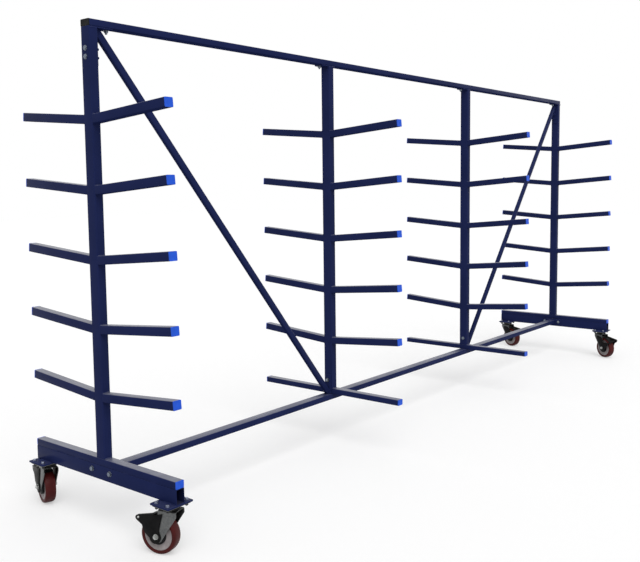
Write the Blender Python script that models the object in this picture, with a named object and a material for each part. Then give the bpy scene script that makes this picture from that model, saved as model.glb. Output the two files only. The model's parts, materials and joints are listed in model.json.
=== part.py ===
"""Mobile double-sided arm rack for long stock: four arm trees on two rolling cross feet.

X runs along the rack, Y across it, Z up. The origin is on the floor under the middle of the frame.
"""
import math

import bmesh
import bpy
from mathutils import Matrix, Vector

# Frame, in metres
BAY = 1.500
POST_COUNT = 4
RACK_HEIGHT = 2.030
TUBE = 0.040
LOW_TUBE = 0.030
WALL = 0.002
CORNER = 0.003
FIT = 0.0003

# Arms
ARM_LEVELS = 5
ARM_PITCH = 0.2755
ARM_LOWEST = 0.266
ARM_REACH = 0.450
ARM_TILT = math.radians(4.7)
ARM_SET_IN = 0.0004
ARM_ROOT = 0.012
CAP_HEAD = 0.004
CAP_SHOULDER = 0.0015

# Feet and level bars
FOOT_LENGTH = 0.900
BEAM_HEIGHT = 0.060
BAR_DROP = 0.010
CAP_STEM = 0.016

# Plates and braces
HEAD_PLATE = 0.005
HEAD_LONG = 0.075
HEAD_SIDE = 0.055
HEAD_SHORT = 0.015
BRACE_DEPTH = 0.030
BRACE_WIDTH = 0.020
BRACE_PLATE = 0.005
BRACE_TOP_PLATE = 0.145
BRACE_FOOT_PLATE = 0.105
RAIL_END_PLATE = (0.006, 0.150, 0.050)

# Casters
CASTER_HEIGHT = 0.200
CASTER_OFFSET = 0.400
PAD = (0.127, 0.104, 0.006)
PAD_CORNER = 0.005
PLATE = (0.118, 0.090, 0.005)
BOLT_SPACING = (0.094, 0.062)
BOLT_HOLE = 0.0055
TRAIL = 0.050
WHEEL_RADIUS = 0.075
TREAD_WIDTH = 0.046
CORE_RADIUS = 0.059
HUB_RADIUS = 0.024
HUB_LENGTH = 0.052
CORE_FACE = 0.017
RIM_FACE = 0.0205
AXLE_RADIUS = 0.006
SLEEVE_RADIUS = 0.010
FORK_GAP = 0.056
FORK_SHEET = 0.004
FORK_TOP = 0.180
FORK_BACK = -0.036
FORK_FRONT = 0.042
FORK_SHOULDER = 0.022
FORK_EYE = 0.026
FORK_BEND = 0.009
KINGPIN_RADIUS = 0.007
KINGPIN_PLAY = 0.0008
RIVET_RADIUS = 0.0133
RIVET_RIM = 0.004
RIVET_DOME = 0.003
RIVET_CLEAR = 0.0015
SEAT_DEPTH = 0.004
SEAT_RADIUS = 0.025
RACE_RADIUS = 0.031
RACE_FLARE = 0.003
RACE_WALL = 0.004
RACE_FLOOR = 0.006
RACE_CLEAR = 0.002
LEVER_SHEET = 0.003
LEVER_PLAY = 0.0012
LEVER_REST = math.radians(8)
LEVER_EYE = 0.024
LEVER_EYE_SHIFT = (0.006, -0.004)
LEVER_FRONT = [(0.098, 0.092), (0.103, 0.106), (0.105, 0.122)]
LEVER_TOE = [(0.127, 0.143), (0.1305, 0.152), (0.124, 0.160)]
LEVER_BACK = [(0.011, 0.160), (0.038, 0.094)]
LEVER_COVER = [
    (0.1245, 0.1265), (0.1245, 0.1335), (0.102, 0.1325), (0.052, 0.120), (0.030, 0.156), (-0.018, 0.156),
    (-0.024, 0.140),
]
LEVER_PEDAL = [(0.1035, 0.1525), (0.1235, 0.1525), (0.1235, 0.1555), (0.1035, 0.1555)]
PEDAL_FALL = 0.36
AXLE_HEX = 0.019
AXLE_HEAD = 0.008
AXLE_NUT = 0.009
AXLE_TAIL = 0.003
HUB_DRAFT = 0.006
RIM_DRAFT = 0.008
TREAD_LIP = 0.004
TREAD_SHOULDER = ((0.006, 0.0), (0.0018, 0.004), (0.0, 0.010))
TRIM = 0.010
HEADINGS = {"near_left": 107.0, "far_left": 72.0, "near_right": 242.0, "far_right": 250.0}

WHEEL_STEPS = 24
HUB_STEPS = 16
PIN_STEPS = 10
HOLE_STEPS = 6

# Heights that follow from the sizes above
FOOT_TOP = CASTER_HEIGHT + PAD[2] + BEAM_HEIGHT + LOW_TUBE
BAR_TOP = FOOT_TOP - BAR_DROP
RAIL_TOP = BAR_TOP - LOW_TUBE
POST_TOP = RACK_HEIGHT - LOW_TUBE - HEAD_PLATE
POST_X = [(i - (POST_COUNT - 1) / 2) * BAY for i in range(POST_COUNT)]
HALF = TUBE / 2


def clear_scene():
    for item in list(bpy.data.objects):
        bpy.data.objects.remove(item, do_unlink=True)


def finish(name, colour, roughness, metallic):
    made = bpy.data.materials.new(name)
    made.use_nodes = True
    shader = made.node_tree.nodes["Principled BSDF"]
    shader.inputs["Base Color"].default_value = (*colour, 1.0)
    shader.inputs["Roughness"].default_value = roughness
    shader.inputs["Metallic"].default_value = metallic
    return made


def make_finishes():
    return {
        "navy_paint": finish("navy_paint", (0.018, 0.024, 0.125), 0.32, 0.0),
        "blue_plastic": finish("blue_plastic", (0.015, 0.065, 0.72), 0.4, 0.0),
        "black_plastic": finish("black_plastic", (0.012, 0.012, 0.013), 0.5, 0.0),
        "zinc": finish("zinc", (0.52, 0.53, 0.52), 0.35, 1.0),
        "black_steel": finish("black_steel", (0.014, 0.014, 0.015), 0.42, 0.0),
        "grey_core": finish("grey_core", (0.55, 0.55, 0.53), 0.5, 0.0),
        "red_tread": finish("red_tread", (0.22, 0.02, 0.025), 0.38, 0.0),
    }


def mesh_from(name, bm):
    bmesh.ops.remove_doubles(bm, verts=bm.verts, dist=1e-6)
    bmesh.ops.recalc_face_normals(bm, faces=bm.faces)
    mesh = bpy.data.meshes.new(name)
    bm.to_mesh(mesh)
    bm.free()
    mesh.shade_smooth()
    mesh.set_sharp_from_angle(angle=math.radians(35))
    return mesh


def place(name, mesh, material, location=(0, 0, 0), turn=None, parent=None):
    mesh.materials.clear()
    mesh.materials.append(material)
    item = bpy.data.objects.new(name, mesh)
    bpy.context.collection.objects.link(item)
    item.parent = parent
    item.location = location
    if turn is not None:
        item.rotation_euler = turn
    return item


def empty(name, location, turn=(0, 0, 0), parent=None):
    item = bpy.data.objects.new(name, None)
    bpy.context.collection.objects.link(item)
    item.parent = parent
    item.location = location
    item.rotation_euler = turn
    return item


def shaped(base, steps):
    """Run Boolean steps on a mesh and return the shaped mesh."""
    body = bpy.data.objects.new("body", base)
    bpy.context.collection.objects.link(body)
    tools = []
    for operation, tool_mesh in steps:
        tool = bpy.data.objects.new("tool", tool_mesh)
        bpy.context.collection.objects.link(tool)
        tool.hide_render = True
        tool.display_type = "WIRE"
        cut = body.modifiers.new(operation.lower(), "BOOLEAN")
        cut.operation = operation
        cut.solver = "EXACT"
        cut.object = tool
        tools.append(tool)
    graph = bpy.context.evaluated_depsgraph_get()
    result = bpy.data.meshes.new_from_object(body.evaluated_get(graph))
    for item in [body, *tools]:
        bpy.data.objects.remove(item, do_unlink=True)
    bm = bmesh.new()
    bm.from_mesh(result)
    bmesh.ops.dissolve_degenerate(bm, edges=bm.edges, dist=1e-6)
    return mesh_from(base.name, bm)


def rounded_rect(width, height, radius, steps):
    """Corner points of a rounded rectangle about the origin, anticlockwise."""
    points = []
    for corner, (sx, sy) in enumerate(((1, 1), (-1, 1), (-1, -1), (1, -1))):
        cx = sx * (width / 2 - radius)
        cy = sy * (height / 2 - radius)
        for step in range(steps + 1):
            angle = math.radians(90) * (corner + step / steps)
            points.append((cx + radius * math.cos(angle), cy + radius * math.sin(angle)))
    return points


def arc(centre, radius, start, end, steps):
    points = []
    for step in range(steps + 1):
        angle = math.radians(start + (end - start) * step / steps)
        points.append((centre[0] + radius * math.cos(angle), centre[1] + radius * math.sin(angle)))
    return points


def extrude(bm, points, direction):
    """A closed prism on a flat outline of 3-D points."""
    face = bm.faces.new([bm.verts.new(point) for point in points])
    swept = bmesh.ops.extrude_face_region(bm, geom=[face], use_keep_orig=True)
    moved = [v for v in swept["geom"] if isinstance(v, bmesh.types.BMVert)]
    bmesh.ops.translate(bm, verts=moved, vec=Vector(direction))
    return face


def bar_points(outline, x):
    return [(x, a, b) for a, b in outline]


def prism_x(bm, outline, start, end):
    extrude(bm, bar_points(outline, start), (end - start, 0, 0))


def prism_y(bm, outline, start, end):
    extrude(bm, [(a, start, b) for a, b in outline], (0, end - start, 0))


def prism_z(bm, outline, start, end):
    extrude(bm, [(a, b, start) for a, b in outline], (0, 0, end - start))


def box(bm, low, high):
    middle = (Vector(low) + Vector(high)) / 2
    size = Vector(high) - Vector(low)
    bmesh.ops.create_cube(bm, size=1.0, matrix=Matrix.Translation(middle) @ Matrix.Diagonal((*size, 1)))


def tube_x(bm, width, height, start, end):
    """A hollow rectangular tube along X, open at both ends."""
    outer = [bm.verts.new(p) for p in bar_points(rounded_rect(width, height, CORNER, 2), start)]
    inner_outline = rounded_rect(width - 2 * WALL, height - 2 * WALL, CORNER - WALL, 2)
    inner = [bm.verts.new(p) for p in bar_points(inner_outline, start)]
    count = len(outer)
    rim = []
    for i in range(count):
        j = (i + 1) % count
        rim.append(bm.faces.new((outer[i], outer[j], inner[j], inner[i])))
    swept = bmesh.ops.extrude_face_region(bm, geom=rim, use_keep_orig=True)
    moved = [v for v in swept["geom"] if isinstance(v, bmesh.types.BMVert)]
    bmesh.ops.translate(bm, verts=moved, vec=Vector((end - start, 0, 0)))


def turned(bm, profile, steps, closed):
    """Spin an (r, z) outline about Z. A closed outline makes a ring, an open one ends on the axis."""
    verts = [bm.verts.new((r, 0, z)) for r, z in profile]
    pairs = list(zip(verts, verts[1:]))
    if closed:
        pairs.append((verts[-1], verts[0]))
    edges = [bm.edges.new(pair) for pair in pairs]
    bmesh.ops.spin(
        bm, geom=verts + edges, cent=(0, 0, 0), axis=(0, 0, 1),
        angle=math.tau, steps=steps, use_merge=True,
    )
    bmesh.ops.remove_doubles(bm, verts=bm.verts, dist=1e-6)


def turned_mesh(name, profile, steps, closed=True):
    bm = bmesh.new()
    turned(bm, profile, steps, closed)
    return mesh_from(name, bm)


def cylinder_mesh(name, radius, start, end, steps, across=False):
    """A plain round tool along Z, or along Y where it runs across."""
    bm = bmesh.new()
    outline = arc((0, 0), radius, 0, 360 - 360 / steps, steps - 1)
    if across:
        prism_y(bm, outline, start, end)
    else:
        prism_z(bm, outline, start, end)
    return mesh_from(name, bm)


def hexagon(across_flats):
    radius = across_flats / math.sqrt(3)
    return arc((0, 0), radius, 0, 300, 5)


def arm_outline(inset):
    return rounded_rect(TUBE - 2 * ARM_SET_IN - 2 * inset, LOW_TUBE - 2 * inset, CORNER, 1)


def add_arm(bm, side, root_top):
    """One tilted arm: its top edge meets the post face at root_top, and its tip is at the reach."""
    along = Vector((0, side * math.cos(ARM_TILT), math.sin(ARM_TILT)))
    up = Vector((0, -side * math.sin(ARM_TILT), math.cos(ARM_TILT)))
    root = Vector((0, side * HALF, root_top)) - up * LOW_TUBE / 2
    length = (ARM_REACH - HALF - LOW_TUBE * math.sin(ARM_TILT)) / math.cos(ARM_TILT)

    def section(distance, inset):
        return [root + along * distance + Vector((a, 0, 0)) + up * b for a, b in arm_outline(inset)]

    stations = [(-ARM_ROOT, 0), (length - CAP_SHOULDER, 0), (length, CAP_SHOULDER)]
    loops = [[bm.verts.new(p) for p in section(*station)] for station in stations]
    for near, far in zip(loops, loops[1:]):
        for i in range(len(near)):
            j = (i + 1) % len(near)
            bm.faces.new((near[i], near[j], far[j], far[i]))
    bm.faces.new(loops[0])
    bm.faces.new(loops[-1])


def arm_levels():
    return [FOOT_TOP + ARM_LOWEST + level * ARM_PITCH for level in range(ARM_LEVELS)]


def upright_mesh(index):
    """A post with its welded arms on both sides and the head plate on its top."""
    last = POST_COUNT - 1
    stands_on = FOOT_TOP if index in (0, last) else BAR_TOP
    post = bmesh.new()
    prism_z(post, rounded_rect(TUBE, TUBE, CORNER, 2), stands_on + FIT, POST_TOP)
    arms = bmesh.new()
    for root_top in arm_levels():
        for side in (-1, 1):
            add_arm(arms, side, root_top)
    left, right = (HALF + FIT, HALF + HEAD_LONG) if index == 0 else (HALF + HEAD_SIDE, HALF + HEAD_SHORT)
    plate = bmesh.new()
    box(plate, (-left, -HALF + FIT, POST_TOP - FIT), (right, HALF - FIT, POST_TOP + HEAD_PLATE - FIT))
    name = f"upright_{index + 1}"
    return shaped(
        mesh_from(name, post),
        [("UNION", mesh_from("arms", arms)), ("UNION", mesh_from("head_plate", plate))],
    )


def build_uprights(materials):
    for index, x in enumerate(POST_X):
        place(f"upright_{index + 1}", upright_mesh(index), materials["navy_paint"], (x, 0, 0))


def plug_mesh(name, width, height):
    """A push-in tube plug along +X: a hollow stem in the tube and a head with a soft shoulder."""
    stem_width = width - 2 * WALL - 2 * FIT
    stem_height = height - 2 * WALL - 2 * FIT
    stem = rounded_rect(stem_width, stem_height, CORNER - WALL, 1)
    face = rounded_rect(width, height, CORNER, 1)
    front = rounded_rect(width - 2 * CAP_SHOULDER, height - 2 * CAP_SHOULDER, CORNER, 1)
    bore = rounded_rect(stem_width - 2 * WALL, stem_height - 2 * WALL, CORNER - WALL, 1)
    stations = [
        (-CAP_STEM, stem), (FIT, stem), (FIT, face), (CAP_HEAD - CAP_SHOULDER, face), (CAP_HEAD, front),
    ]
    bm = bmesh.new()
    loops = [[bm.verts.new(p) for p in bar_points(outline, x)] for x, outline in stations]
    loops.insert(0, [bm.verts.new(p) for p in bar_points(bore, -CAP_STEM)])
    loops.insert(0, [bm.verts.new(p) for p in bar_points(bore, 0)])
    for near, far in zip(loops, loops[1:]):
        for i in range(len(near)):
            j = (i + 1) % len(near)
            bm.faces.new((near[i], near[j], far[j], far[i]))
    bm.faces.new(loops[0])
    bm.faces.new(loops[-1])
    return mesh_from(name, bm)


def tube_mesh(name, width, height, start, end):
    bm = bmesh.new()
    tube_x(bm, width, height, start, end)
    return mesh_from(name, bm)


def build_top_rail(materials):
    reach = POST_X[-1] + HALF
    tube_end = reach - CAP_HEAD
    middle = RACK_HEIGHT - LOW_TUBE / 2
    rail = tube_mesh("top_rail", TUBE, LOW_TUBE, -tube_end, tube_end)
    place("top_rail", rail, materials["navy_paint"], (0, 0, middle))
    plug = plug_mesh("rail_plug", TUBE, LOW_TUBE)
    place("rail_plug_left", plug, materials["black_plastic"], (-tube_end, 0, middle), (0, 0, math.pi))
    place("rail_plug_right", plug, materials["black_plastic"], (tube_end, 0, middle))


def build_bar(name, x, top, materials):
    """A level bar across the rack: an open tube with a plug in each end."""
    tube_end = ARM_REACH - CAP_HEAD
    middle = top - LOW_TUBE / 2
    bar = tube_mesh(name, TUBE, LOW_TUBE - 2 * FIT, -tube_end, tube_end)
    place(name, bar, materials["navy_paint"], (x, 0, middle), (0, 0, math.pi / 2))
    for side, end in ((-1, "near"), (1, "far")):
        plug = plug_mesh(f"{name}_cap", TUBE, LOW_TUBE - 2 * FIT)
        turn = (0, 0, side * math.pi / 2)
        place(f"{name}_cap_{end}", plug, materials["blue_plastic"], (x, side * tube_end, middle), turn)


def plate_mesh(name, size, corner, hole_radius):
    """A flat bolt plate with cut corners and four holes, its underside at Z zero."""
    bm = bmesh.new()
    prism_z(bm, rounded_rect(size[0], size[1], corner, 1), 0, size[2])
    holes = bmesh.new()
    for sx in (-1, 1):
        for sy in (-1, 1):
            centre = (sx * BOLT_SPACING[0] / 2, sy * BOLT_SPACING[1] / 2)
            outline = arc(centre, hole_radius, 0, 360 - 360 / HOLE_STEPS, HOLE_STEPS - 1)
            prism_z(holes, outline, -size[2], 2 * size[2])
    return shaped(mesh_from(name, bm), [("DIFFERENCE", mesh_from("holes", holes))])


def build_feet(materials):
    pad = plate_mesh("caster_pad", PAD, PAD_CORNER, BOLT_HOLE)
    for x, end in ((POST_X[0], "left"), (POST_X[-1], "right")):
        build_bar(f"foot_bar_{end}", x, FOOT_TOP, materials)
        low = CASTER_HEIGHT + PAD[2]
        beam = tube_mesh(
            f"foot_beam_{end}", TUBE, BEAM_HEIGHT - 2 * FIT, -FOOT_LENGTH / 2, FOOT_LENGTH / 2
        )
        centre = (x, 0, low + BEAM_HEIGHT / 2)
        place(f"foot_beam_{end}", beam, materials["navy_paint"], centre, (0, 0, math.pi / 2))
        for side, row in ((-1, "near"), (1, "far")):
            spot = (x, side * CASTER_OFFSET, CASTER_HEIGHT)
            place(f"caster_pad_{row}_{end}", pad.copy(), materials["navy_paint"], spot)


def build_level_bars(materials):
    for index in range(1, POST_COUNT - 1):
        build_bar(f"level_bar_{index + 1}", POST_X[index], BAR_TOP, materials)


def build_bottom_rail(materials):
    """The long low rail, let through a bolted end plate at each end."""
    thick, wide, tall = RAIL_END_PLATE
    inner = POST_X[-1] - HALF - FIT
    height = LOW_TUBE - 2 * FIT
    rail = bmesh.new()
    prism_x(rail, rounded_rect(TUBE, height, CORNER, 2), -inner + thick / 2, inner - thick / 2)
    plates = bmesh.new()
    for side in (-1, 1):
        prism_x(plates, rounded_rect(wide, tall, CORNER, 2), side * inner, side * (inner - thick))
    bore = bmesh.new()
    prism_x(bore, rounded_rect(TUBE - 2 * WALL, height - 2 * WALL, CORNER - WALL, 2), -BAY * 2, BAY * 2)
    mesh = shaped(
        mesh_from("bottom_rail", rail),
        [("UNION", mesh_from("plates", plates)), ("DIFFERENCE", mesh_from("bore", bore))],
    )
    place("bottom_rail", mesh, materials["navy_paint"], (0, 0, RAIL_TOP - LOW_TUBE / 2))


def brace_mesh(name):
    """A diagonal from under the top rail to the bottom rail, with a flat plate on each post."""
    span = BAY - TUBE - 2 * FIT
    top = POST_TOP - 2 * FIT
    bottom = RAIL_TOP + FIT
    high = Vector((0, 0, RACK_HEIGHT - LOW_TUBE))
    low = Vector((span, 0, RAIL_TOP))
    along = (low - high).normalized()
    across = Vector((along.z, 0, -along.x))
    reach = 2 * BRACE_DEPTH
    start = high - along * reach
    outline = rounded_rect(BRACE_WIDTH, BRACE_DEPTH, CORNER, 2)
    tube = bmesh.new()
    extrude(tube, [start + Vector((0, a, 0)) + across * b for a, b in outline], low + along * reach - start)
    keep = bmesh.new()
    box(keep, (BRACE_PLATE / 2, -TUBE, bottom), (span - BRACE_PLATE / 2, TUBE, top))
    plates = bmesh.new()
    half = HALF - 2 * FIT
    box(plates, (0, -half, top - BRACE_TOP_PLATE), (BRACE_PLATE, half, top + FIT / 2))
    box(plates, (span - BRACE_PLATE, -half, bottom - FIT / 2), (span, half, bottom + BRACE_FOOT_PLATE))
    return shaped(
        mesh_from(name, tube),
        [("INTERSECT", mesh_from("keep", keep)), ("UNION", mesh_from("plates", plates))],
    )


def build_braces(materials):
    brace = brace_mesh("brace")
    start = POST_X[0] + HALF + FIT
    place("brace_left", brace, materials["navy_paint"], (start, 0, 0))
    place("brace_right", brace.copy(), materials["navy_paint"], (-start, 0, 0), (0, 0, math.pi))


def top_plate_mesh():
    """The caster's bolt plate with its pressed race seat and the kingpin riveted through it."""
    plate = plate_mesh("top_plate", PLATE, CORNER * 2, BOLT_HOLE)
    plate.transform(Matrix.Translation((0, 0, CASTER_HEIGHT - PLATE[2] - FIT)))
    under = CASTER_HEIGHT - PLATE[2] - FIT
    seat = under - SEAT_DEPTH
    head = FORK_TOP - FORK_SHEET - RIVET_CLEAR
    rim = head - RIVET_RIM
    dome = rim - RIVET_DOME
    profile = [
        (0, under + PLATE[2] / 2), (SEAT_RADIUS, under + PLATE[2] / 2), (SEAT_RADIUS, seat),
        (KINGPIN_RADIUS, seat), (KINGPIN_RADIUS, head), (RIVET_RADIUS, head), (RIVET_RADIUS, rim),
        (KINGPIN_RADIUS, dome), (0, dome),
    ]
    return shaped(plate, [("UNION", turned_mesh("kingpin", profile, HUB_STEPS, closed=False))])


def race_mesh():
    """The swivel's ball race: a flanged ring that turns with the fork, under the plate."""
    low = FORK_TOP + FIT
    high = CASTER_HEIGHT - PLATE[2] - FIT - RACE_CLEAR
    floor = low + RACE_FLOOR
    bore = KINGPIN_RADIUS + RACE_WALL
    inside = RACE_RADIUS - RACE_WALL
    profile = [
        (bore, low), (RACE_RADIUS + RACE_FLARE, low), (RACE_RADIUS, high), (inside, high), (inside, floor),
        (bore, floor),
    ]
    return turned_mesh("swivel_race", profile, HUB_STEPS)


def channel_outline(half_width, sheet, top, bottom, bend):
    """The section of a bent sheet: a web on top, a flange down each side."""
    outer = arc((half_width - bend, top - bend), bend, 0, 90, 3)
    outer += [(-y, z) for y, z in reversed(outer)]
    inside = half_width - sheet
    inner_bend = bend - sheet
    inner = arc((inside - inner_bend, top - sheet - inner_bend), inner_bend, 0, 90, 3)
    inner += [(-y, z) for y, z in reversed(inner)]
    return [(half_width, bottom)] + outer + [(-half_width, bottom), (-inside, bottom)] \
        + inner[::-1] + [(inside, bottom)]


def bent_sheet(name, half_width, sheet, top, bend, side_outline, cuts):
    """A stamped sheet: a bent channel trimmed to a side outline, then pierced."""
    xs = [x for x, _ in side_outline]
    channel = bmesh.new()
    section = channel_outline(half_width, sheet, top, WHEEL_RADIUS / 2, bend)
    prism_x(channel, section, min(xs) - TRIM, max(xs) + TRIM)
    trim = bmesh.new()
    prism_y(trim, side_outline, -2 * half_width, 2 * half_width)
    steps = [("INTERSECT", mesh_from("trim", trim))]
    steps += [("DIFFERENCE", cut) for cut in cuts]
    return shaped(mesh_from(name, channel), steps)


def axle_hole(radius):
    hole = cylinder_mesh("axle_hole", radius, -FORK_GAP, FORK_GAP, PIN_STEPS, across=True)
    hole.transform(Matrix.Translation((TRAIL, 0, WHEEL_RADIUS)))
    return hole


def fork_mesh():
    axle = (TRAIL, WHEEL_RADIUS)
    shoulder = FORK_TOP - FORK_SHOULDER
    outline = [(FORK_BACK, FORK_TOP + TRIM), (FORK_BACK, shoulder)]
    outline += arc(axle, FORK_EYE, 200, 370, 7)
    outline += [(FORK_FRONT, shoulder), (FORK_FRONT, FORK_TOP + TRIM)]
    pin_hole = cylinder_mesh("pin_hole", KINGPIN_RADIUS + KINGPIN_PLAY, shoulder, CASTER_HEIGHT, HUB_STEPS)
    half_width = FORK_GAP / 2 + FORK_SHEET
    cuts = [axle_hole(AXLE_RADIUS + FIT), pin_hole]
    return bent_sheet("fork", half_width, FORK_SHEET, FORK_TOP, FORK_BEND, outline, cuts)


def lever_mesh():
    """The foot brake: two cheeks hung on the axle outside the fork, tied by a pedal sloping across the wheel.

    One cheek carries the toe and leaves the fork leg in sight, and the other is a cover over the leg.
    """
    inside = FORK_GAP / 2 + FORK_SHEET + LEVER_PLAY
    outside = inside + LEVER_SHEET
    middle = (TRAIL + LEVER_EYE_SHIFT[0], WHEEL_RADIUS + LEVER_EYE_SHIFT[1])
    lower = arc(middle, LEVER_EYE, 180, 360, 8) + LEVER_FRONT
    toe_cheek, cover, pedal = bmesh.new(), bmesh.new(), bmesh.new()
    prism_y(toe_cheek, lower + LEVER_TOE + LEVER_BACK, inside, outside)
    prism_y(cover, lower + LEVER_COVER, -outside, -inside)
    prism_y(pedal, LEVER_PEDAL, -inside - LEVER_SHEET / 2, inside + LEVER_SHEET / 2)
    for vert in pedal.verts:
        vert.co.z += (vert.co.y - inside) * PEDAL_FALL
    steps = [("UNION", mesh_from("cover", cover)), ("UNION", mesh_from("pedal", pedal))]
    steps += [("DIFFERENCE", axle_hole(AXLE_RADIUS + 2 * FIT))]
    mesh = shaped(mesh_from("brake_lever", toe_cheek), steps)
    mesh.transform(Matrix.Rotation(LEVER_REST, 4, "Y") @ Matrix.Translation((-TRAIL, 0, -WHEEL_RADIUS)))
    return mesh


def axle_mesh():
    """The axle bolt: a hex head on one side, a nut on the other, outside the brake's cheeks."""
    grip = FORK_GAP / 2 + FORK_SHEET + LEVER_PLAY + LEVER_SHEET + 2 * FIT
    tail = grip + AXLE_NUT + AXLE_TAIL
    shaft = cylinder_mesh("axle", AXLE_RADIUS, -tail, grip + AXLE_HEAD / 2, PIN_STEPS)
    ends = bmesh.new()
    prism_z(ends, hexagon(AXLE_HEX), grip, grip + AXLE_HEAD)
    prism_z(ends, hexagon(AXLE_HEX), -grip - AXLE_NUT, -grip)
    return shaped(shaft, [("UNION", mesh_from("head_and_nut", ends))])


def sleeve_mesh():
    half = FORK_GAP / 2 - FIT
    inner = AXLE_RADIUS + FIT
    profile = [(inner, -half), (SLEEVE_RADIUS, -half), (SLEEVE_RADIUS, half), (inner, half)]
    return turned_mesh("bearing_sleeve", profile, PIN_STEPS)


def mirrored_ring(half_profile):
    return half_profile + [(r, -z) for r, z in reversed(half_profile)]


def core_mesh():
    bore = SLEEVE_RADIUS + 2 * FIT
    half = [
        (bore, HUB_LENGTH / 2), (HUB_RADIUS, HUB_LENGTH / 2), (HUB_RADIUS + HUB_DRAFT, CORE_FACE),
        (CORE_RADIUS - RIM_DRAFT, CORE_FACE), (CORE_RADIUS, RIM_FACE),
    ]
    return turned_mesh("wheel_core", mirrored_ring(half), WHEEL_STEPS)


def tread_mesh():
    inner = CORE_RADIUS + FIT
    wide = TREAD_WIDTH / 2
    half = [(inner, RIM_FACE), (inner + TREAD_LIP, wide)]
    half += [(WHEEL_RADIUS - fall, wide - side) for fall, side in TREAD_SHOULDER]
    return turned_mesh("tread", mirrored_ring(half), WHEEL_STEPS)


def build_casters(materials):
    shapes = {
        "plate": top_plate_mesh(), "race": race_mesh(), "fork": fork_mesh(), "axle": axle_mesh(),
        "sleeve": sleeve_mesh(), "core": core_mesh(), "tread": tread_mesh(), "lever": lever_mesh(),
    }
    for x, end in ((POST_X[0], "left"), (POST_X[-1], "right")):
        for side, row in ((-1, "near"), (1, "far")):
            spot = f"{row}_{end}"
            turn = (0, 0, math.radians(HEADINGS[spot]))
            swivel = empty(f"swivel_{spot}", (x, side * CASTER_OFFSET, 0), turn)
            wheel = empty(f"wheel_axis_{spot}", (TRAIL, 0, WHEEL_RADIUS), (math.pi / 2, 0, 0), swivel)
            zinc = materials["zinc"]
            plate_spot = (x, side * CASTER_OFFSET, 0)
            place(f"caster_plate_{spot}", shapes["plate"].copy(), zinc, plate_spot)
            place(f"swivel_race_{spot}", shapes["race"].copy(), zinc, parent=swivel)
            place(f"caster_fork_{spot}", shapes["fork"].copy(), zinc, parent=swivel)
            place(f"axle_bolt_{spot}", shapes["axle"].copy(), zinc, parent=wheel)
            place(f"bearing_sleeve_{spot}", shapes["sleeve"].copy(), zinc, parent=wheel)
            place(f"wheel_core_{spot}", shapes["core"].copy(), materials["grey_core"], parent=wheel)
            place(f"tread_{spot}", shapes["tread"].copy(), materials["red_tread"], parent=wheel)
            lever_spot = (TRAIL, 0, WHEEL_RADIUS)
            place(
                f"brake_lever_{spot}", shapes["lever"].copy(), materials["black_steel"], lever_spot,
                parent=swivel,
            )


def main():
    clear_scene()
    materials = make_finishes()
    build_uprights(materials)
    build_top_rail(materials)
    build_feet(materials)
    build_level_bars(materials)
    build_bottom_rail(materials)
    build_braces(materials)
    build_casters(materials)


main()
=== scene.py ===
import json
import math

import bmesh
import bpy
from mathutils import Matrix, Vector


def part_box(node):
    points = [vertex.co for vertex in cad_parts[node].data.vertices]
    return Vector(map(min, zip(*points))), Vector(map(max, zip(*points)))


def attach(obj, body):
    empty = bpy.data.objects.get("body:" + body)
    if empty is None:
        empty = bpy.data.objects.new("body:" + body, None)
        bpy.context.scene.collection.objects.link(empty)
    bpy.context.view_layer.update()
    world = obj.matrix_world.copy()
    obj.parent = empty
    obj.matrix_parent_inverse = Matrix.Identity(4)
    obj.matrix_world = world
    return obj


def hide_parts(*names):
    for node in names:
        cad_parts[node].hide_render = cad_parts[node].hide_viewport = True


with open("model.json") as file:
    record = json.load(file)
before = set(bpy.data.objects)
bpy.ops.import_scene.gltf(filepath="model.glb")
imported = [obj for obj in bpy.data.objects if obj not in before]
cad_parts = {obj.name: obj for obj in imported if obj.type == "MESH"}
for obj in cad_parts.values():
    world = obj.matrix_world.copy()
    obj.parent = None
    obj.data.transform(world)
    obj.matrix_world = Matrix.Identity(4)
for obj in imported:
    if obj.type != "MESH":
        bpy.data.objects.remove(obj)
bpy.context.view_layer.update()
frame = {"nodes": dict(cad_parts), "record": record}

# camera at the photograph's viewing angle
view = {
    "place": (-4.2556, -2.7145, 1.3819),
    "yaw": 39.245, "pitch": -5.316, "roll": -0.745,  # degrees
    "image": (640, 562), "centre": (307.84, 262.36), "focal": 828.63,  # pixels
    "sensor": 36.0,
}


def placeCamera():
    yaw, pitch, roll = (math.radians(view[key]) for key in ("yaw", "pitch", "roll"))
    ahead = Vector((math.cos(yaw) * math.cos(pitch), math.sin(yaw) * math.cos(pitch), math.sin(pitch)))
    right = Vector((math.sin(yaw), -math.cos(yaw), 0))
    above = right.cross(ahead)
    lean = Matrix.Rotation(roll, 3, -ahead)
    bpy.ops.object.camera_add()
    camera = bpy.context.object
    camera.matrix_world = Matrix.Translation(view["place"]) @ \
        Matrix((lean @ right, lean @ above, -ahead)).transposed().to_4x4()
    width, height = view["image"]
    camera.data.sensor_fit = "HORIZONTAL"
    camera.data.sensor_width = view["sensor"]
    camera.data.lens = view["focal"] * view["sensor"] / width
    camera.data.shift_x = (width / 2 - view["centre"][0]) / width
    camera.data.shift_y = (view["centre"][1] - height / 2) / width
    camera.data.clip_end = 200
    bpy.context.scene.camera = camera


placeCamera()
print("camera placed")

# node helpers
def feed(tree, socket, value):  # a link or a plain value
    if isinstance(value, bpy.types.NodeSocket):
        tree.links.new(value, socket)
    else:
        socket.default_value = value


def addNode(tree, kind, sockets=None, **settings):
    made = tree.nodes.new("ShaderNode" + kind)
    for key, value in settings.items():
        setattr(made, key, value)
    for socket, value in (sockets or {}).items():
        feed(tree, made.inputs[socket], value)
    return made


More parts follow.
